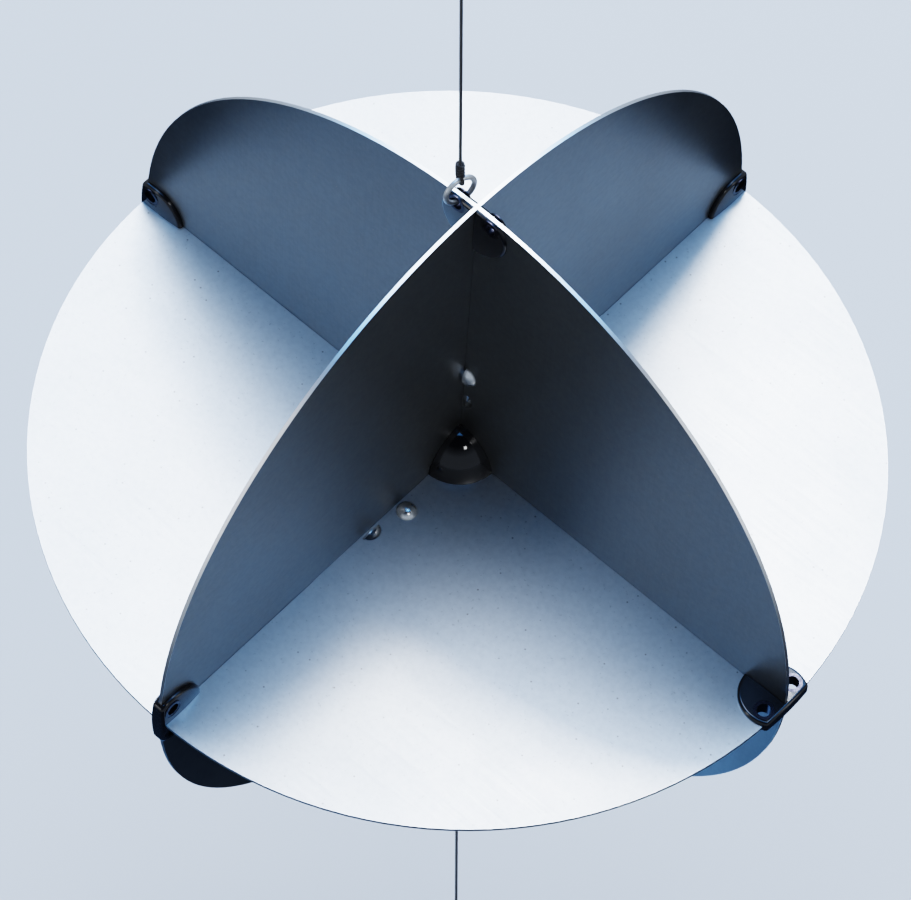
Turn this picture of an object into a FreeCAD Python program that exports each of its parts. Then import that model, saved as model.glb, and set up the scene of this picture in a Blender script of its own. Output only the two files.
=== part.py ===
import FreeCAD, Part
import math
import os

# Octahedral radar reflector: three crossed circular sheet plates, hung by one corner.
# Millimetres. The origin is the common centre of the plates and +Z runs up the hoist line.
# Every sheet piece and catch is drawn flat in its own XY plane, then turned into place.

VALUES = {
    # plates
    "plate_radius": 158.75,
    "sheet": 1.4,
    "slot_play": 0.2,
    "lap_play": 0.1,
    # pressed louvres that stand against the crossing plate
    "louvre_long": 4.2,
    "louvre_wide": 3.6,
    "louvre_high": 2.6,
    "louvre_inset": 0.8,
    "dimple_radius": 3.0,
    "dimple_inset": 0.1,
    # hub ball in four quarters, pinned through the equator plate
    "ball_radius": 17.2,
    "ball_play": 0.3,
    "hub_gap": 0.05,
    "pin_radius": 2.0,
    "pin_play": 0.02,
    "pin_reach": 7.0,
    "pin_offset": 6.5,
    # corner catches
    "catch_radius": 13.2,
    "catch_centre": 153.0,
    "catch_half": 3.3,
    "catch_dome": 120.0,
    "catch_proud": 1.5,
    "catch_edge": 1.3,
    "catch_grip": 0.02,
    "catch_play": 0.3,
    "rim_play": 0.2,
    # guide blocks at the top and bottom corners
    "guide_radius": 15.0,
    "guide_centre": 149.0,
    "guide_half": 2.3,
    "guide_dome": 200.0,
    "guide_proud": -0.3,
    "guide_edge": 1.5,
    # lashing eyes
    "eye_reach": 154.9,
    "eye_offset": 7.8,
    "bore_radius": 2.6,
    "barrel_radius": 3.1,
    "barrel_play": 0.03,
    "flange_radius": 3.9,
    "flange_thick": 0.5,
    "catch_seat": 2.6,
    "guide_seat": 1.7,
    # rings and lines
    "ring_radius": 5.9,
    "ring_wire": 1.0,
    "ring_lift": 0.04,
    "cord_radius": 0.65,
    "loop_radius": 1.8,
    "turn_radius": 1.15,
    "turn_pitch": 1.4,
    "hoist_length": 100.0,
    "downhaul_length": 186.0,
    "bight_radius": 6.0,
}

# How far out each pressing stands, which way it rises, and whether it is open on the side of the slot.
PRESSED_EQUATOR = {"inner": (34.0, "up", "dimple"), "outer": (49.6, "down", "louvre")}
PRESSED_MERIDIAN = {"near": (35.0, "up", "louvre"), "far": (51.5, "down", "louvre")}
KNOT_TURNS = 5
RING_YAW = -14.0

X = FreeCAD.Vector(1, 0, 0)
Y = FreeCAD.Vector(0, 1, 0)
Z = FreeCAD.Vector(0, 0, 1)

doc = FreeCAD.newDocument("radar_reflector")
sheet = doc.addObject("Spreadsheet::Sheet", "Sizes")
for row, (alias, number) in enumerate(VALUES.items(), start=1):
    sheet.set(f"A{row}", alias)
    sheet.set(f"B{row}", str(number))
    sheet.setAlias(f"B{row}", alias)
doc.recompute()


# ---- building blocks -------------------------------------------------------------------

def formula(text):
    """Turn a formula written with the sheet's aliases into a FreeCAD expression."""
    words = text.replace("(", " ( ").replace(")", " ) ").split()
    named = " ".join(f"Sizes.{word}" if word in VALUES else word for word in words)
    return named.replace("sqrt (", "sqrt(")


def add(kind, name, at=("0", "0", "0"), **sizes):
    """Add a primitive whose sizes and position follow the sheet."""
    item = doc.addObject(kind, name)
    for prop, text in sizes.items():
        item.setExpression(prop, formula(str(text)))
    for axis, text in zip("xyz", at):
        if text != "0":
            item.setExpression(f"Placement.Base.{axis}", formula(text))
    return item


def box(name, low, high):
    """A box between two corners, each given as three formulas."""
    spans = [f"( {b} ) - ( {a} )" for a, b in zip(low, high)]
    return add("Part::Box", name, low, Length=spans[0], Width=spans[1], Height=spans[2])


def rod(name, radius, low, high, x="0", y="0"):
    """A cylinder along Z between two heights."""
    return add("Part::Cylinder", name, (x, y, low), Radius=radius, Height=f"( {high} ) - ( {low} )")


def group(name, items):
    item = doc.addObject("Part::Compound", name)
    item.Links = items
    return item


def fuse(name, items):
    item = doc.addObject("Part::MultiFuse", name)
    item.Shapes = items
    item.Refine = True
    return item


def common(name, items):
    item = doc.addObject("Part::MultiCommon", name)
    item.Shapes = items
    return item


def cut(name, base, tools):
    item = doc.addObject("Part::Cut", name)
    item.Base = base
    item.Tool = tools[0] if len(tools) == 1 else group(name + "_cutters", tools)
    item.Refine = True
    return item


def turned(x_to, y_to, z_to):
    """The placement that turns the local axes onto the given directions."""
    m = FreeCAD.Matrix(x_to.x, y_to.x, z_to.x, 0,
                       x_to.y, y_to.y, z_to.y, 0,
                       x_to.z, y_to.z, z_to.z, 0,
                       0, 0, 0, 1)
    return FreeCAD.Placement(m)


nodes = {}


def finish(label, item, place):
    """Name a finished piece and put it in its place."""
    item.Label = label
    item.Placement = place
    nodes[label] = item


# The reflector hangs by an eye beside its corner, so it leans until its centre is below the eye.
lean = math.degrees(math.atan2(VALUES["eye_offset"], VALUES["eye_reach"]))
hang = FreeCAD.Placement(FreeCAD.Vector(), FreeCAD.Rotation(Y, lean))
flat = FreeCAD.Placement()

PLANES = {
    "equator": turned(X, Y, Z),
    "meridian": turned(Z, X, Y),
    "half": turned(Y, Z, X),
}
CORNERS = {
    "east": turned(X, Y, Z),
    "west": turned(-X, Z, Y),
    "north": turned(Y, Z, X),
    "south": turned(-Y, -Z, X),
    "top": turned(Z, X, Y),
    "bottom": turned(-Z, -X, Y),
}


# ---- sheet plates ----------------------------------------------------------------------

def pressing(name, along, rise, form, quarter):
    """Shell and hollow of one pressed louvre or dimple, beside the line at quarter * 90 degrees."""
    flip = FreeCAD.Rotation(Y, 180 if rise == "down" else 0)
    turn = FreeCAD.Rotation(Z, 90 * quarter)
    edge = (VALUES["sheet"] + VALUES["slot_play"]) / 2
    if form == "louvre":
        across = edge + VALUES["louvre_inset"]
        radii = ("louvre_high", "louvre_long", "louvre_wide")
    else:
        across = edge + VALUES["dimple_inset"] + VALUES["dimple_radius"] + VALUES["sheet"]
        radii = ("louvre_high", "dimple_radius", "dimple_radius")
    level = VALUES["sheet"] / 2 * (1 if rise == "down" else -1)
    base = turn.multVec(FreeCAD.Vector(along, across, level))
    parts = []
    for part, extra in (("shell", "sheet"), ("hollow", "0")):
        item = doc.addObject("Part::Ellipsoid", f"{name}_{part}")
        for prop, radius in zip(("Radius1", "Radius2", "Radius3"), radii):
            item.setExpression(prop, formula(f"{radius} + {extra}"))
        item.Angle1 = 0
        item.Angle2 = 90
        item.Angle3 = 180 if form == "louvre" else 360
        item.Placement = FreeCAD.Placement(base, turn * flip)
        parts.append(item)
    return parts


def eye_holes(name):
    """The two holes for the eyelets, beside the line along +X."""
    return [rod(f"{name}_eye_{i}", "barrel_radius + barrel_play", "0 - sheet", "sheet",
                "eye_reach", f"{side} * eye_offset") for i, side in enumerate((1, -1))]


def turn_about_axis(items, axis, angle):
    """Turn finished cutters about an axis through the centre."""
    held = group(items[0].Name + "_turned", items)
    held.Placement = FreeCAD.Placement(FreeCAD.Vector(), FreeCAD.Rotation(axis, angle))
    return held


half_slot = "( sheet + slot_play ) / 2"
past_rim = "plate_radius + 1"
mid = "plate_radius / 2"

# Equator plate: open from the west rim to the centre, and from the north and south rims to mid radius.
disc = rod("equator_disc", "plate_radius", "0 - sheet / 2", "sheet / 2")
shells, hollows = [], []
for quarter in range(4):
    for key, (along, rise, form) in PRESSED_EQUATOR.items():
        shell, hollow = pressing(f"equator_{form}_{key}_{quarter}", along, rise, form, quarter)
        shells.append(shell)
        hollows.append(hollow)
cutters = hollows + [
    box("equator_west_slot", (f"0 - ( {past_rim} )", f"0 - {half_slot}", "0 - sheet"),
        ("lap_play", half_slot, "sheet")),
    box("equator_south_slot", (f"0 - {half_slot}", f"0 - ( {past_rim} )", "0 - sheet"),
        (half_slot, f"lap_play - {mid}", "sheet")),
    box("equator_north_slot", (f"0 - {half_slot}", f"{mid} - lap_play", "0 - sheet"),
        (half_slot, past_rim, "sheet")),
    rod("equator_pin_hole_south", "pin_radius + pin_play", "0 - sheet", "sheet", "0", "0 - pin_offset"),
    rod("equator_pin_hole_north", "pin_radius + pin_play", "0 - sheet", "sheet", "0", "pin_offset"),
] + eye_holes("equator")
equator = cut("equator_sheet", fuse("equator_pressed", [disc] + shells), cutters)
finish("equator_plate", equator, hang * PLANES["equator"])

# Meridian plate: open from the east rim to the centre. In its own plane +X is up and +Y is east.
disc = rod("meridian_disc", "plate_radius", "0 - sheet / 2", "sheet / 2")
shells, hollows = [], []
for quarter in (0, 2):
    for key, (along, rise, form) in PRESSED_MERIDIAN.items():
        shell, hollow = pressing(f"meridian_{form}_{key}_{quarter}", along, rise, form, quarter)
        shells.append(shell)
        hollows.append(hollow)
cutters = hollows + [
    box("meridian_east_slot", (f"0 - {half_slot}", "0 - lap_play", "0 - sheet"),
        (half_slot, past_rim, "sheet")),
    turn_about_axis(eye_holes("meridian_top"), Z, 0),
    turn_about_axis(eye_holes("meridian_west"), Z, -90),
    turn_about_axis(eye_holes("meridian_bottom"), Z, 180),
]
meridian = cut("meridian_sheet", fuse("meridian_pressed", [disc] + shells), cutters)
finish("meridian_plate", meridian, hang * PLANES["meridian"])

# Two half plates: straight edge against the meridian plate, slot for the equator plate to mid radius.
for label, turn in (("north", 0), ("south", 180)):
    disc = rod(f"{label}_disc", "plate_radius", "0 - sheet / 2", "sheet / 2")
    cutters = [
        box(f"{label}_other_half", (f"0 - ( {past_rim} )", f"0 - ( {past_rim} )", "0 - sheet"),
            ("sheet / 2 + lap_play", past_rim, "sheet")),
        box(f"{label}_slot", ("0", f"0 - {half_slot}", "0 - sheet"),
            (f"{mid} + lap_play", half_slot, "sheet")),
        rod(f"{label}_ball_notch", "ball_radius + ball_play", "0 - sheet", "sheet"),
    ] + eye_holes(label)
    half = cut(f"{label}_half_sheet", disc, cutters)
    spin = FreeCAD.Placement(FreeCAD.Vector(), FreeCAD.Rotation(Z, turn))
    finish(f"{label}_half_plate", half, hang * PLANES["half"] * spin)


# ---- hub ball --------------------------------------------------------------------------

for level in ("upper", "lower"):
    for side in ("south", "north"):
        name = f"hub_{level}_{side}"
        y_sign = -1 if side == "south" else 1
        z_sign = -1 if level == "lower" else 1
        ball = add("Part::Sphere", f"{name}_ball", Radius="ball_radius")
        near = "sheet / 2 + hub_gap"
        lows = ["0 - ball_radius - 1", near, near]
        highs = ["ball_radius + 1", "ball_radius + 1", "ball_radius + 1"]
        if y_sign < 0:
            lows[1], highs[1] = "0 - ball_radius - 1", f"0 - ( {near} )"
        if z_sign < 0:
            lows[2], highs[2] = "0 - ball_radius - 1", f"0 - ( {near} )"
        quarter = common(f"{name}_quarter", [ball, box(f"{name}_space", tuple(lows), tuple(highs))])
        bore = rod(f"{name}_bore", "pin_radius + pin_play", "0 - pin_reach - pin_play",
                   "pin_reach + pin_play", "0", f"{y_sign} * pin_offset")
        finish(f"{name}_quarter", cut(f"{name}_drilled", quarter, [bore]), hang)

for side, y_sign in (("south", -1), ("north", 1)):
    pin = rod(f"hub_pin_{side}_body", "pin_radius", "0 - pin_reach", "pin_reach",
              "0", f"{y_sign} * pin_offset")
    holder = group(f"hub_pin_{side}_placed", [pin])
    finish(f"hub_pin_{side}", holder, hang)


# ---- corner catches --------------------------------------------------------------------

def catch_body(name, kind):
    """A domed disc at the rim, trimmed to the rim's own curve, all edges rounded."""
    half, centre, radius = f"{kind}_half", f"{kind}_centre", f"{kind}_radius"
    disc = rod(f"{name}_disc", radius, f"0 - {half}", half, centre)
    domes = [
        add("Part::Sphere", f"{name}_dome_{i}", (centre, "0", f"{side} * ( {half} - {kind}_dome )"),
            Radius=f"{kind}_dome")
        for i, side in enumerate((1, -1))
    ]
    room = rod(f"{name}_room", f"plate_radius + {kind}_proud", f"0 - {half} - 1", f"{half} + 1")
    blank = common(f"{name}_blank", [disc] + domes + [room])
    doc.recompute()
    rounded = doc.addObject("Part::Fillet", f"{name}_rounded")
    rounded.Base = blank
    edge = VALUES[f"{kind}_edge"]
    rounded.Edges = [(i + 1, edge, edge) for i in range(len(blank.Shape.Edges))]
    return rounded


def eye_seats(name, kind):
    """Through holes and flange seats of the two eyelets."""
    seat, clear = f"{kind}_seat", f"( {kind}_half + 1 )"
    cutters = []
    for i, side in enumerate((1, -1)):
        y = f"{side} * eye_offset"
        cutters.append(rod(f"{name}_eye_{i}", "barrel_radius + barrel_play", f"0 - {clear}", clear,
                           "eye_reach", y))
        cutters.append(rod(f"{name}_seat_up_{i}", "flange_radius + barrel_play", seat, clear,
                           "eye_reach", y))
        cutters.append(rod(f"{name}_seat_down_{i}", "flange_radius + barrel_play", f"0 - {clear}",
                           f"0 - {seat}", "eye_reach", y))
    return cutters


for corner in ("east", "west", "north", "south", "top", "bottom"):
    name = f"catch_{corner}"
    kind = "guide" if corner in ("top", "bottom") else "catch"
    own_end = "plate_radius + rim_play" if kind == "catch" else "plate_radius + 2"
    inside = f"{kind}_centre - {kind}_radius - 2"
    grip = "sheet / 2 + catch_grip"
    cross = "( sheet + catch_play ) / 2"
    cutters = [
        rod(f"{name}_own_slot", own_end, f"0 - ( {grip} )", grip),
        box(f"{name}_cross_slot", (inside, f"0 - {cross}", f"0 - {kind}_half - 1"),
            (own_end, cross, f"{kind}_half + 1")),
    ] + eye_seats(name, kind)
    item = cut(f"{name}_piece", catch_body(name, kind), cutters)
    label = f"corner_catch_{corner}" if kind == "catch" else f"{corner}_guide_blocks"
    finish(label, item, hang * CORNERS[corner])

    pair = []
    seat = f"{kind}_seat"
    for i, side in enumerate((1, -1)):
        y = f"{side} * eye_offset"
        top = f"{seat} + flange_thick"
        barrel = rod(f"eyelet_{corner}_barrel_{i}", "barrel_radius", f"0 - ( {top} )", top, "eye_reach", y)
        upper = rod(f"eyelet_{corner}_upper_{i}", "flange_radius", seat, top, "eye_reach", y)
        lower = rod(f"eyelet_{corner}_lower_{i}", "flange_radius", f"0 - ( {top} )", f"0 - {seat}",
                    "eye_reach", y)
        bore = rod(f"eyelet_{corner}_bore_{i}", "bore_radius", f"0 - {kind}_half - 1", f"{kind}_half + 1",
                   "eye_reach", y)
        solid = fuse(f"eyelet_{corner}_solid_{i}", [barrel, upper, lower])
        pair.append(cut(f"eyelet_{corner}_{i}", solid, [bore]))
    finish(f"eyelets_{corner}", group(f"eyelet_pair_{corner}", pair), hang * CORNERS[corner])


# ---- rings and lines -------------------------------------------------------------------

def torus(name, ring, wire, at, rotation):
    item = doc.addObject("Part::Torus", name)
    item.setExpression("Radius1", formula(ring))
    item.setExpression("Radius2", formula(wire))
    item.Placement.Rotation = rotation
    for axis, text in zip("xyz", at):
        if text != "0":
            item.setExpression(f"Placement.Base.{axis}", formula(text))
    return item


def knot(name, start, count):
    """Turns of cord stacked along the line from a starting height, round a straight core."""
    turns = [
        torus(f"{name}_turn_{i}", "turn_radius", "cord_radius",
              ("0", "0", f"{start} + {i} * turn_pitch"), FreeCAD.Rotation())
        for i in range(count)
    ]
    core = rod(f"{name}_core", "turn_radius", f"{start} - cord_radius",
               f"{start} + {count - 1} * turn_pitch + cord_radius")
    return turns + [core]


def mooring(label, length):
    """Ring, knot, line and end loop, drawn upwards from the eye."""
    eye = "sqrt ( eye_reach * eye_reach + eye_offset * eye_offset )"
    yaw = FreeCAD.Rotation(Z, RING_YAW)
    across = yaw * FreeCAD.Rotation(Y, 90)
    along = yaw * FreeCAD.Rotation(X, 90)
    low = f"{eye} - ring_lift"
    ring = torus(f"{label}_ring_body", "ring_radius", "ring_wire", ("0", "0", f"{low} + ring_radius"), across)
    top = f"{low} + 2 * ring_radius"
    sling_at = f"{top} + loop_radius - ring_wire - cord_radius - 0.1"
    sling = torus(f"{label}_sling", "loop_radius", "cord_radius", ("0", "0", sling_at), along)
    first = f"{sling_at} + loop_radius + cord_radius"
    lower_knot = fuse(f"{label}_knot_body", [sling] + knot(f"{label}_knot", first, KNOT_TURNS))
    line_from = f"{first} + {KNOT_TURNS - 1} * turn_pitch + cord_radius"
    line_to = f"{line_from} + {length}"
    line = rod(f"{label}_line_body", "cord_radius", line_from, line_to)
    second = f"{line_to} + cord_radius"
    bight_at = f"{second} + {KNOT_TURNS - 1} * turn_pitch + 0.7 * cord_radius + bight_radius"
    bight = torus(f"{label}_bight", "bight_radius", "cord_radius", ("0", "0", bight_at), across)
    end_loop = fuse(f"{label}_end_body", [bight] + knot(f"{label}_end", second, KNOT_TURNS))
    return {"ring": ring, "knot": lower_knot, "line": line, "end_loop": end_loop}


over = FreeCAD.Placement(FreeCAD.Vector(), FreeCAD.Rotation(Y, 180))
for label, length, place in (("hoist", "hoist_length", flat), ("downhaul", "downhaul_length", over)):
    for piece, item in mooring(label, length).items():
        holder = group(f"{label}_{piece}_placed", [item])
        finish(f"{label}_{piece}", holder, place)


# ---- recompute, check, export ----------------------------------------------------------

doc.recompute()
faults = [item.Name for item in doc.Objects if "Invalid" in item.State or "Error" in item.State]
assert not faults, f"features in error: {faults}"
os.makedirs("parts", exist_ok=True)
volume = 0.0
for label, item in nodes.items():
    shape = item.Shape
    assert not shape.isNull() and shape.isValid(), f"{label} has a bad shape"
    assert shape.Solids, f"{label} has no solid"
    room = shape.BoundBox
    print(f"{label:26s} solids {len(shape.Solids)}  volume {shape.Volume:10.1f}  "
          f"x {room.XMin:8.2f} {room.XMax:8.2f}  y {room.YMin:8.2f} {room.YMax:8.2f}  "
          f"z {room.ZMin:8.2f} {room.ZMax:8.2f}")
    shape.exportStep(f"parts/{label}.step")
print(f"lean {lean:.3f} degrees, {len(nodes)} pieces")
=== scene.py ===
import math

import bpy
import bmesh
from mathutils import Matrix, Vector


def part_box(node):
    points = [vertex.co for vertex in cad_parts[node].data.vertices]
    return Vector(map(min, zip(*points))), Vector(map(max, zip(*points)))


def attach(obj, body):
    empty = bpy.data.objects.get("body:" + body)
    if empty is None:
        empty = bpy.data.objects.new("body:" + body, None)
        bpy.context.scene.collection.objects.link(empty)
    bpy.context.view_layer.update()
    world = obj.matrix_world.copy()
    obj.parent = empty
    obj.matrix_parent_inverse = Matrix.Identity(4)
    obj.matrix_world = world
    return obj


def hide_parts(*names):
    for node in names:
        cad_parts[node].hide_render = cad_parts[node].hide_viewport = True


# Octahedral radar reflector hanging on its line, in a plain studio. Metres, +Z up the line.

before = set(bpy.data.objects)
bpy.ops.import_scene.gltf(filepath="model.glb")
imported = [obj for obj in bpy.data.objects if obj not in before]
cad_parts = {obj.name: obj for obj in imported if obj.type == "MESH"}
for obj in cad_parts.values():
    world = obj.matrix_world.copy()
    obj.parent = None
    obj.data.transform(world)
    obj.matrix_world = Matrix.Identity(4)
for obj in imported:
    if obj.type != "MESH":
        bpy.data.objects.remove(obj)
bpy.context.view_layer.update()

# ---- sizes that follow the model ---------------------------------------------------------

PLATE_RADIUS = 0.15875
LEAN = math.radians(2.883)          # the plates hang this far over, about +Y
RING_YAW = math.radians(-14.0)
CORD_RADIUS = 0.00065
CORD_LAY = 0.0042                   # length of one full twist of the strands
WRAP_RADIUS = 0.0012
WRAP_PITCH = 0.0014
WRAPS = 5
SLING_RADIUS = 0.0018
BIGHT_RADIUS = 0.006
TUCK = 0.0006                       # how far a tied end runs inside its wraps
TAIL = 0.001
WRAP_POINTS, SLING_POINTS, BIGHT_POINTS = 12, 12, 18    # control points in one full turn
LINE_STEPS, KNOT_STEPS = 700, 8     # resolution of the smooth routes

# ---- camera ------------------------------------------------------------------------------

CAMERA_AZIMUTH = math.radians(42.018)
CAMERA_ELEVATION = math.radians(57.020)
CAMERA_ROLL = math.radians(0.271)
CAMERA_DISTANCE = 1.929
CAMERA_LENS = 206.6
CAMERA_RIGHT = -0.00115             # slides of the camera along its own axes
CAMERA_UP = -0.00166


def make_camera():
    """A long lens looking down on the reflector."""
    az, el = CAMERA_AZIMUTH, CAMERA_ELEVATION
    back = Vector((math.sin(az) * math.cos(el), -math.cos(az) * math.cos(el), math.sin(el)))
    right = Vector((math.cos(az), math.sin(az), 0.0))
    right.rotate(Matrix.Rotation(CAMERA_ROLL, 3, back))
    up = back.cross(right)
    data = bpy.data.cameras.new("camera")
    data.sensor_width = 36.0
    data.lens = CAMERA_LENS
    data.clip_start, data.clip_end = 0.05, 50.0
    camera = bpy.data.objects.new("camera", data)
    bpy.context.scene.collection.objects.link(camera)
    turn = Matrix((right, up, back)).transposed()
    spot = back * CAMERA_DISTANCE + right * CAMERA_RIGHT + up * CAMERA_UP
    camera.matrix_world = Matrix.Translation(spot) @ turn.to_4x4()
    bpy.context.scene.camera = camera


make_camera()


# ---- cord --------------------------------------------------------------------------------

STRANDS = 3
STRAND_RADIUS = CORD_RADIUS / (1 + 2 / math.sqrt(3))
STRAND_OFFSET = CORD_RADIUS - STRAND_RADIUS
STRAND_SIDES = 8
BLUNT = 0.12                        # radius of a strand's very end, as a share of its own


def route_points(name, points, steps):
    """The smooth line through a route's control points, read from its NURBS spline."""
    curve = bpy.data.curves.new(name, "CURVE")
    curve.dimensions = "3D"
    spline = curve.splines.new("NURBS")
    spline.points.add(len(points) - 1)
    for slot, point in zip(spline.points, points):
        slot.co = (*point, 1.0)
    spline.order_u = 3
    spline.use_endpoint_u = True
    curve.resolution_u = steps
    holder = bpy.data.objects.new(name, curve)
    mesh = bpy.data.meshes.new_from_object(holder)
    line = [v.co.copy() for v in mesh.vertices]
    bpy.data.meshes.remove(mesh)
    bpy.data.objects.remove(holder)
    bpy.data.curves.remove(curve)
    return line


def rope(name, line):
    """Three twisted strands along a line of points, with rounded ends."""
    tangents = []
    for i in range(len(line)):
        a, b = line[max(i - 1, 0)], line[min(i + 1, len(line) - 1)]
        tangents.append((b - a).normalized())
    side = tangents[0].orthogonal().normalized()
    sides = [side]
    for before, after in zip(tangents, tangents[1:]):
        side = side.copy()
        side.rotate(before.rotation_difference(after))
        sides.append((side - after * side.dot(after)).normalized())
        side = sides[-1]
    travelled = [0.0]
    for a, b in zip(line, line[1:]):
        travelled.append(travelled[-1] + (b - a).length)
    total = travelled[-1]

    bm = bmesh.new()
    for strand in range(STRANDS):
        centres = []
        for point, tangent, side, run in zip(line, tangents, sides, travelled):
            angle = 2 * math.pi * (run / CORD_LAY + strand / STRANDS)
            out = math.cos(angle) * side + math.sin(angle) * tangent.cross(side)
            centres.append(point + STRAND_OFFSET * out)
        rings = []
        for i, centre in enumerate(centres):
            a, b = centres[max(i - 1, 0)], centres[min(i + 1, len(centres) - 1)]
            along = (b - a).normalized()
            across = (sides[i] - along * sides[i].dot(along)).normalized()
            over = along.cross(across)
            end = min(travelled[i], total - travelled[i]) / STRAND_RADIUS
            radius = STRAND_RADIUS * (math.sqrt(1 - (1 - end) ** 2) if end < 1 else 1.0)
            radius = max(radius, BLUNT * STRAND_RADIUS)
            rings.append([
                bm.verts.new(centre + radius * (math.cos(t) * across + math.sin(t) * over))
                for t in (2 * math.pi * k / STRAND_SIDES for k in range(STRAND_SIDES))
            ])
        for low, high in zip(rings, rings[1:]):
            for k in range(STRAND_SIDES):
                j = (k + 1) % STRAND_SIDES
                bm.faces.new((low[k], low[j], high[j], high[k]))
        bm.faces.new(list(reversed(rings[0])))
        bm.faces.new(rings[-1])
    mesh = bpy.data.meshes.new(name)
    bm.to_mesh(mesh)
    bm.free()
    mesh.shade_smooth()
    piece = bpy.data.objects.new(name, mesh)
    bpy.context.scene.collection.objects.link(piece)
    return piece


def wrap_points(low):
    """Control points of the wraps round the line, from a starting height upwards."""
    points = []
    for i in range(WRAPS * WRAP_POINTS + 1):
        angle = 2 * math.pi * i / WRAP_POINTS
        points.append(Vector((WRAP_RADIUS * math.cos(angle), WRAP_RADIUS * math.sin(angle),
                              low + WRAP_PITCH * i / WRAP_POINTS)))
    return points


def sling_points(centre):
    """Down through the ring and back up, from the top of the small loop."""
    return [Vector((SLING_RADIUS * math.sin(t), 0.0, centre + SLING_RADIUS * math.cos(t)))
            for t in (2 * math.pi * k / SLING_POINTS for k in range(1, SLING_POINTS))]


def bight_points(centre):
    """Round the end loop, from its foot back to its foot."""
    return [Vector((0.0, BIGHT_RADIUS * math.sin(t), centre - BIGHT_RADIUS * math.cos(t)))
            for t in (2 * math.pi * k / BIGHT_POINTS for k in range(2, BIGHT_POINTS - 1))]


def mooring(side, body, flip):
    """The twisted line of one side, with the knot at its ring and the loop at its far end."""
    turn = Matrix.Rotation(math.pi, 3, "Y") if flip else Matrix.Identity(3)
    yawed = turn @ Matrix.Rotation(RING_YAW, 3, "Z")

    def heights(node):
        low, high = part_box(f"{side}_{node}")
        return sorted((abs(low.z), abs(high.z)))

    knot_low, knot_high = heights("knot")
    line_low, line_high = heights("line")
    loop_low, loop_high = heights("end_loop")

    stations = (line_low, (line_low + line_high) / 2, line_high)
    line = route_points(f"{side}_route", [turn @ Vector((0, 0, z)) for z in stations], LINE_STEPS)
    cord = rope(f"{side}_cord", line)

    sling_centre = knot_low + SLING_RADIUS + CORD_RADIUS
    wraps_low = sling_centre + SLING_RADIUS + CORD_RADIUS
    knot_route = [Vector((0, 0, z)) for z in (knot_high + TUCK, wraps_low + TAIL)]
    knot_route += sling_points(sling_centre) + wrap_points(wraps_low)
    knot_line = route_points(f"{side}_knot_route", [yawed @ p for p in knot_route], KNOT_STEPS)
    knot = rope(f"{side}_tied_knot", knot_line)

    wraps_low = loop_low + CORD_RADIUS
    wraps_high = wraps_low + WRAPS * WRAP_PITCH
    bight_centre = loop_high - CORD_RADIUS - BIGHT_RADIUS
    loop_route = [Vector((0, 0, z)) for z in (loop_low - TUCK, wraps_high - TUCK)]
    loop_route += bight_points(bight_centre) + list(reversed(wrap_points(wraps_low)))
    loop_line = route_points(f"{side}_loop_route", [yawed @ p for p in loop_route], KNOT_STEPS)
    loop = rope(f"{side}_tied_loop", loop_line)

    for piece, node in ((cord, "line"), (knot, "knot"), (loop, "end_loop")):
        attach(piece, body)
        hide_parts(f"{side}_{node}")
    return [cord, knot, loop]


cords = mooring("hoist", "hoist", False) + mooring("downhaul", "downhaul", True)


# ---- shader helpers -----------------------------------------------------------------------

MIX_FIRST, MIX_SECOND, MIX_RESULT = 6, 7, 2     # the colour sockets of a Mix node


def new_material(name):
    """A node material with its output and Principled shader."""
    material = bpy.data.materials.new(name)
    material.use_nodes = True
    nodes = material.node_tree.nodes
    nodes.clear()
    output = nodes.new("ShaderNodeOutputMaterial")
    shader = nodes.new("ShaderNodeBsdfPrincipled")
    material.node_tree.links.new(shader.outputs["BSDF"], output.inputs["Surface"])
    return material, shader


def add_node(material, kind, inputs=None, **settings):
    """A node with its settings and the values of its inputs."""
    node = material.node_tree.nodes.new(kind)
    for key, value in settings.items():
        setattr(node, key, value)
    for key, value in (inputs or {}).items():
        if isinstance(value, bpy.types.NodeSocket):
            material.node_tree.links.new(value, node.inputs[key])
        else:
            node.inputs[key].default_value = value
    return node


def placed(material, size=(1, 1, 1), lean=0.0):
    """Object coordinates measured in features of the given size, in metres."""
    coords = add_node(material, "ShaderNodeTexCoord")
    node = add_node(material, "ShaderNodeMapping", {
        "Vector": coords.outputs["Object"], "Rotation": (0, lean, 0), "Scale": size}, vector_type="TEXTURE")
    return node.outputs["Vector"]


def noise(material, vector, detail=3.0, roughness=0.55, scale=1.0):
    """Smooth noise, from 0 to 1."""
    node = add_node(material, "ShaderNodeTexNoise", {
        "Vector": vector, "Scale": scale, "Detail": detail, "Roughness": roughness})
    return node.outputs["Fac"]


def remap(material, value, low, high, to_low, to_high):
    """Map a value from one range to another, clamped."""
    node = add_node(material, "ShaderNodeMapRange", {
        "Value": value, "From Min": low, "From Max": high, "To Min": to_low, "To Max": to_high})
    return node.outputs["Result"]


def maths(material, operation, first, second):
    """One arithmetic step on two values or sockets."""
    return add_node(material, "ShaderNodeMath", {0: first, 1: second}, operation=operation).outputs["Value"]


def mixed(material, factor, first, second):
    """Mix two colours, each a tuple or a socket."""
    colours = [(*c, 1.0) if isinstance(c, tuple) else c for c in (first, second)]
    values = {"Factor": factor, MIX_FIRST: colours[0], MIX_SECOND: colours[1]}
    return add_node(material, "ShaderNodeMix", values, data_type="RGBA").outputs[MIX_RESULT]


def relief(material, shader, heights):
    """Chain height fields, each (height, distance in metres, strength), into the shader's normal."""
    normal = None
    for height, distance, strength in heights:
        values = {"Height": height, "Distance": distance, "Strength": strength}
        if normal is not None:
            values["Normal"] = normal
        normal = add_node(material, "ShaderNodeBump", values).outputs["Normal"]
    material.node_tree.links.new(normal, shader.inputs["Normal"])


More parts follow.
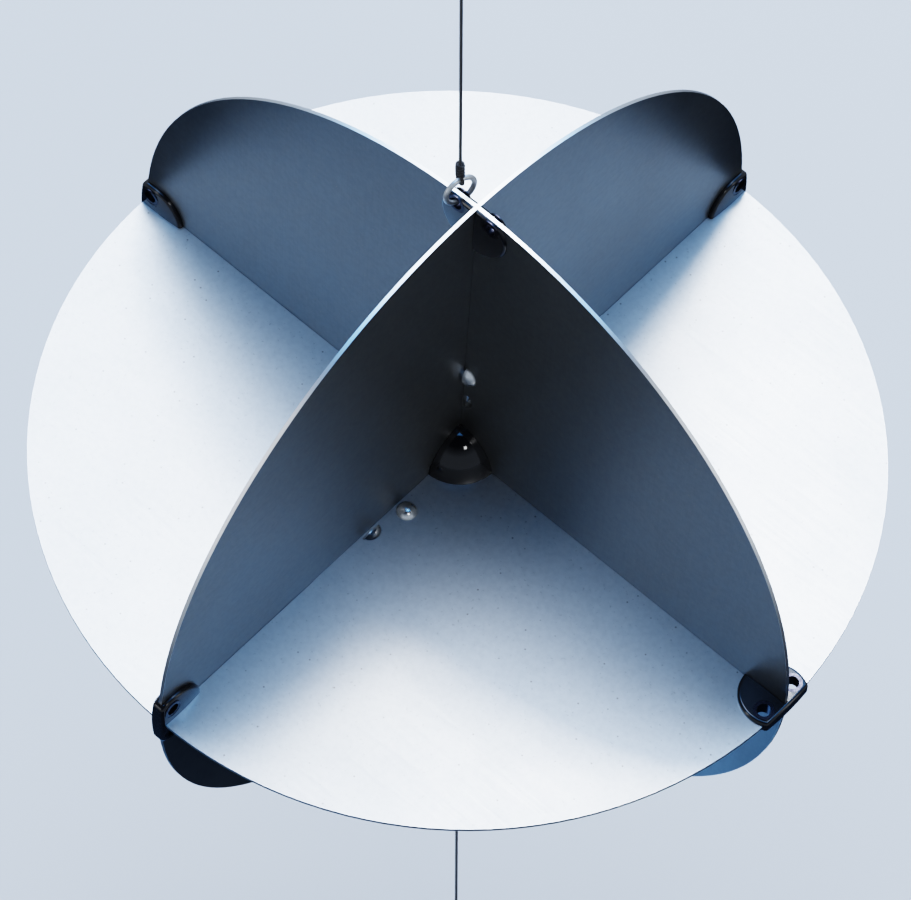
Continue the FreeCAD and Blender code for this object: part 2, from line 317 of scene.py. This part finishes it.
def feed(material, shader, **sockets):
    """Link sockets or set values on the shader, by input name."""
    for key, value in sockets.items():
        target = shader.inputs[key.replace("_", " ")]
        if isinstance(value, bpy.types.NodeSocket):
            material.node_tree.links.new(value, target)
        else:
            target.default_value = value


# ---- materials ----------------------------------------------------------------------------

ALUMINIUM = (0.66, 0.67, 0.675)
DULLER = 0.92                       # the darker patches, as a share of the metal's own tone
# Rim colour: partly bare cut metal, partly a painted highlight along the rims.
CUT_EDGE_AND_HIGHLIGHT = (0.93, 0.94, 0.95)
SPECK = (0.34, 0.32, 0.29)
# Colour of the pressings: partly burnished metal, partly a painted highlight.
BURNISH_AND_HIGHLIGHT = (0.88, 0.90, 0.92)
PRESSED_FROM, PRESSED_TO = 0.0008, 0.0014       # distance from the middle of the sheet
EDGE_FROM, EDGE_TO = PLATE_RADIUS - 0.00013, PLATE_RADIUS - 0.00007


def plate_metal(name, grain_size, tone, normal):
    """Satin rolled aluminium: grain along one direction, specks, faint smears, cut edges made near white
    and pressings, which stand clear of the sheet along its normal, made brighter and smoother. The bright
    edges and pressings are partly bare and burnished metal and partly a painted highlight; a tone below 1
    is painted shade."""
    material, shader = new_material(name)
    flat = placed(material, lean=LEAN)
    grain = noise(material, placed(material, grain_size, LEAN), detail=4.0, roughness=0.65)
    smear = noise(material, placed(material, (0.06, 0.06, 0.06), LEAN), detail=5.0, roughness=0.6)
    mottle = noise(material, placed(material, (0.0022, 0.0022, 0.0022), LEAN), detail=3.0)

    specks = add_node(material, "ShaderNodeTexVoronoi", {
        "Vector": placed(material, (0.0048, 0.0048, 0.0048), LEAN), "Scale": 1.0, "Randomness": 1.0})
    draw = add_node(material, "ShaderNodeSeparateColor", {"Color": specks.outputs["Color"]})
    core = remap(material, specks.outputs["Distance"], 0.045, 0.10, 1.0, 0.0)
    speck = maths(material, "MULTIPLY", core, maths(material, "GREATER_THAN", draw.outputs["Red"], 0.45))
    fine = noise(material, placed(material, (0.0011, 0.0011, 0.0011), LEAN), detail=1.0)
    speck = maths(material, "MAXIMUM", speck, remap(material, fine, 0.70, 0.80, 0.0, 0.45))

    # The cut edge is the part of the surface that lies at the plate's own radius.
    reach = add_node(material, "ShaderNodeVectorMath", {0: flat}, operation="LENGTH")
    edge = remap(material, reach.outputs["Value"], EDGE_FROM, EDGE_TO, 0.0, 1.0)

    rise = add_node(material, "ShaderNodeVectorMath", {0: flat, 1: normal}, operation="DOT_PRODUCT")
    height = maths(material, "ABSOLUTE", rise.outputs["Value"], 0.0)
    pressed = remap(material, height, PRESSED_FROM, PRESSED_TO, 0.0, 1.0)

    # A tone below 1 darkens the whole sheet: painted shade on the upright plates.
    bright = tuple(tone * c for c in ALUMINIUM)
    dull = tuple(DULLER * c for c in bright)
    base = mixed(material, remap(material, mottle, 0.35, 0.68, 0.0, 1.0), bright, dull)
    # Pressings take a brighter colour, partly burnish and partly a painted highlight; the tone doesn't
    # darken it.
    colour = mixed(material, pressed, mixed(material, speck, base, SPECK), BURNISH_AND_HIGHLIGHT)
    # Cut edges go near white, partly bare cut metal and partly a painted highlight; the tone doesn't darken
    # them.
    colour = mixed(material, edge, colour, CUT_EDGE_AND_HIGHLIGHT)
    rough = maths(material, "ADD", remap(material, smear, 0.3, 0.7, 0.36, 0.43),
                  remap(material, grain, 0.3, 0.7, -0.03, 0.03))
    rough = maths(material, "ADD", rough, maths(material, "MULTIPLY", edge, -0.08))
    rough = maths(material, "ADD", rough, maths(material, "MULTIPLY", pressed, -0.18))
    feed(material, shader, Metallic=1.0, Base_Color=colour, Roughness=rough)
    relief(material, shader, [(grain, 0.00002, 0.3), (mottle, 0.00002, 0.25)])
    return material


def black_moulding(name, polish):
    """Glossy black moulded plastic with slight waviness, dust and rubbed patches."""
    material, shader = new_material(name)
    wave = noise(material, placed(material, (0.004, 0.004, 0.004)), detail=2.0)
    dust = noise(material, placed(material, (0.00026, 0.00026, 0.00026)), detail=2.0, roughness=0.7)
    rubbed = noise(material, placed(material, (0.011, 0.011, 0.011)), detail=5.0)
    colour = mixed(material, remap(material, dust, 0.64, 0.78, 0.0, 0.5), (0.006, 0.006, 0.008),
                   (0.10, 0.10, 0.11))
    feed(material, shader, Base_Color=colour, IOR=1.52, Coat_Weight=0.6, Coat_Roughness=0.04,
         Roughness=remap(material, rubbed, 0.35, 0.7, polish, polish + 0.1))
    relief(material, shader, [(wave, 0.00008, 0.25), (dust, 0.00001, 0.2)])
    return material


def bare_metal(name, colour, roughness):
    """Small drawn or pressed metal parts with fine lines and tarnish."""
    material, shader = new_material(name)
    tarnish = noise(material, placed(material, (0.0014, 0.0014, 0.0014)), detail=4.0)
    drawn = noise(material, placed(material, (0.0004, 0.0004, 0.003)), detail=2.0)
    darker = tuple(0.72 * c for c in colour)
    feed(material, shader, Metallic=1.0,
         Base_Color=mixed(material, remap(material, tarnish, 0.35, 0.7, 0.0, 1.0), colour, darker),
         Roughness=remap(material, tarnish, 0.3, 0.7, roughness, roughness + 0.12))
    relief(material, shader, [(drawn, 0.00002, 0.3)])
    return material


def cord_fibre(name):
    """Black cord: fine fibres, a little worn, with a soft sheen."""
    material, shader = new_material(name)
    fibre = noise(material, placed(material, (0.00015, 0.00015, 0.0009)), detail=3.0)
    worn = noise(material, placed(material, (0.0012, 0.0012, 0.0012)), detail=3.0)
    colour = mixed(material, remap(material, worn, 0.45, 0.75, 0.0, 0.6), (0.010, 0.010, 0.012),
                   (0.05, 0.05, 0.055))
    feed(material, shader, Base_Color=colour, Roughness=0.62, Sheen_Weight=0.3)
    relief(material, shader, [(fibre, 0.00006, 0.6)])
    return material


def floor_paint():
    """Matt pale grey with a faint cloudiness."""
    material, shader = new_material("studio_floor")
    cloud = noise(material, placed(material, (0.6, 0.6, 0.6)))
    colour = mixed(material, remap(material, cloud, 0.35, 0.65, 0.0, 1.0), (0.60, 0.62, 0.65),
                   (0.585, 0.605, 0.635))
    feed(material, shader, Base_Color=colour, Roughness=0.85)
    return material


GRAIN_LONG, GRAIN_FINE = 0.045, 0.0006

# All four plates are the same sheet. The upright ones are darkened all over as painted shade, standing in
# for shade that this studio's light doesn't give them. In the table, a tone below 1 is this painted shade.
UPRIGHT_PAINTED_SHADE = 0.44
PLATES = {                          # grain size, tone and normal of each
    "equator_plate": ((GRAIN_LONG, GRAIN_FINE, GRAIN_FINE), 1.0, (0, 0, 1)),
    "meridian_plate": ((GRAIN_FINE, GRAIN_FINE, GRAIN_LONG), UPRIGHT_PAINTED_SHADE, (0, 1, 0)),
    "north_half_plate": ((GRAIN_FINE, GRAIN_LONG, GRAIN_FINE), UPRIGHT_PAINTED_SHADE, (1, 0, 0)),
    "south_half_plate": ((GRAIN_FINE, GRAIN_LONG, GRAIN_FINE), UPRIGHT_PAINTED_SHADE, (1, 0, 0)),
}


def dress(material, names):
    """Give one material to nodes of the frame or to pieces made here."""
    for name in names:
        mesh = bpy.data.objects[name].data
        mesh.materials.clear()
        mesh.materials.append(material)


for name, (grain, tone, normal) in PLATES.items():
    dress(plate_metal(f"metal_{name}", grain, tone, normal), [name])
node_names = list(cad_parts)
dress(black_moulding("catch_plastic", 0.10), [n for n in node_names if "catch" in n or "blocks" in n])
dress(black_moulding("hub_plastic", 0.06), [n for n in node_names if n.startswith("hub")])
eyelet_nodes = [n for n in node_names if n.startswith("eyelets")]
dress(bare_metal("eyelet_metal", (0.07, 0.07, 0.09), 0.24), eyelet_nodes)
dress(bare_metal("ring_steel", (0.96, 0.97, 0.98), 0.33), ["hoist_ring", "downhaul_ring"])
dress(cord_fibre("cord_fibre"), [piece.name for piece in cords])


# ---- studio --------------------------------------------------------------------------------

def softbox(name, direction, distance, width, height, power, colour):
    """A rectangular light that faces the middle of the plates and doesn't show itself."""
    data = bpy.data.lights.new(name, "AREA")
    data.shape = "RECTANGLE"
    data.size, data.size_y = width, height
    data.energy = power
    data.color = colour
    light = bpy.data.objects.new(name, data)
    bpy.context.scene.collection.objects.link(light)
    towards = Vector(direction).normalized()
    light.location = towards * distance
    light.rotation_mode = "QUATERNION"
    light.rotation_quaternion = towards.to_track_quat("Z", "Y")
    light.visible_camera = False


FLOOR_HALF = 8.0
FLOOR_DROP = 0.03                   # how far the floor lies below the lower end loop


def make_floor():
    """A wide pale floor, which reflections don't see."""
    bm = bmesh.new()
    bmesh.ops.create_grid(bm, x_segments=4, y_segments=4, size=FLOOR_HALF)
    mesh = bpy.data.meshes.new("studio_floor")
    bm.to_mesh(mesh)
    bm.free()
    floor = bpy.data.objects.new("studio_floor", mesh)
    floor.location.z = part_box("downhaul_end_loop")[0].z - FLOOR_DROP
    floor.visible_glossy = False
    bpy.context.scene.collection.objects.link(floor)
    mesh.materials.append(floor_paint())


# Name, direction from the plates, distance, width, height, power in watts, colour. The wide glow
# and the low glow are blue, so that metal in shade takes a blue tint.
LIGHTS = [
    ("key_softbox", (-0.30, 0.34, 0.89), 2.2, 1.4, 1.9, 29, (1.0, 0.96, 0.91)),
    ("key_core", (-0.135, 0.42, 0.897), 2.17, 0.3, 0.3, 8, (1, 1, 1)),
    ("wide_glow", (-0.30, 0.34, 0.89), 2.4, 3.4, 3.4, 88, (0.16, 0.48, 1.0)),
    ("right_strip", (0.84, 0.40, 0.36), 2.2, 0.3, 2.2, 2, (1, 1, 1)),
    ("left_strip", (-0.36, -0.84, 0.40), 2.2, 0.3, 2.2, 3, (1, 1, 1)),
    ("low_glow", (-0.055, -0.36, -0.93), 0.38, 0.16, 0.16, 0.12, (0.22, 0.50, 1.0)),
    ("front_light", (0.643, -0.264, 0.786), 2.2, 0.25, 0.25, 2.2, (1, 1, 1)),
]

make_floor()
for light in LIGHTS:
    softbox(*light)

PALE_ROOM = (0.62, 0.64, 0.67, 1.0)
DIM_ROOM = (0.003, 0.009, 0.021, 1.0)           # reflections see this in place of the pale room,
GLOW_ROOM = (0.015, 0.037, 0.075, 1.0)          # this towards GLOW_SIDE,
WALLS = (0.30, 0.34, 0.39, 1.0)                 # and this round the horizon
GLOW_SIDE = (-0.364, -0.404, -0.839)
GLOW_FROM = 0.2
WALL_FADES = ((-0.60, -0.25), (0.80, 0.45))     # where the walls fade out, as the height of a direction


def make_surroundings():
    """A pale room for everything but reflections, which see a dim one with grey walls."""
    world = bpy.data.worlds.new("studio")
    world.use_nodes = True
    tree = world.node_tree

    def join(source, target):
        tree.links.new(source, target)

    def mix(first, second):
        node = tree.nodes.new("ShaderNodeMix")
        node.data_type = "RGBA"
        for slot, value in ((MIX_FIRST, first), (MIX_SECOND, second)):
            if isinstance(value, tuple):
                node.inputs[slot].default_value = value
            else:
                join(value, node.inputs[slot])
        return node

    path = tree.nodes.new("ShaderNodeLightPath")
    coords = tree.nodes.new("ShaderNodeTexCoord")
    facing = tree.nodes.new("ShaderNodeVectorMath")
    facing.operation = "DOT_PRODUCT"
    facing.inputs[1].default_value = GLOW_SIDE
    join(coords.outputs["Generated"], facing.inputs[0])
    ramp = tree.nodes.new("ShaderNodeMapRange")
    ramp.inputs["From Min"].default_value = GLOW_FROM
    join(facing.outputs["Value"], ramp.inputs["Value"])
    dim = mix(DIM_ROOM, GLOW_ROOM)
    join(ramp.outputs["Result"], dim.inputs["Factor"])

    height = tree.nodes.new("ShaderNodeSeparateXYZ")
    join(coords.outputs["Generated"], height.inputs["Vector"])
    level = tree.nodes.new("ShaderNodeMath")
    level.operation = "MULTIPLY"
    for slot, (low, high) in enumerate(WALL_FADES):
        fade = tree.nodes.new("ShaderNodeMapRange")
        fade.inputs["From Min"].default_value = low
        fade.inputs["From Max"].default_value = high
        join(height.outputs["Z"], fade.inputs["Value"])
        join(fade.outputs["Result"], level.inputs[slot])
    walls = mix(dim.outputs[MIX_RESULT], WALLS)
    join(level.outputs["Value"], walls.inputs["Factor"])

    seen = mix(PALE_ROOM, walls.outputs[MIX_RESULT])
    join(path.outputs["Is Glossy Ray"], seen.inputs["Factor"])
    join(seen.outputs[MIX_RESULT], tree.nodes["Background"].inputs["Color"])
    bpy.context.scene.world = world


make_surroundings()
bpy.context.scene.view_settings.view_transform = "Filmic"
bpy.context.scene.view_settings.look = "High Contrast"
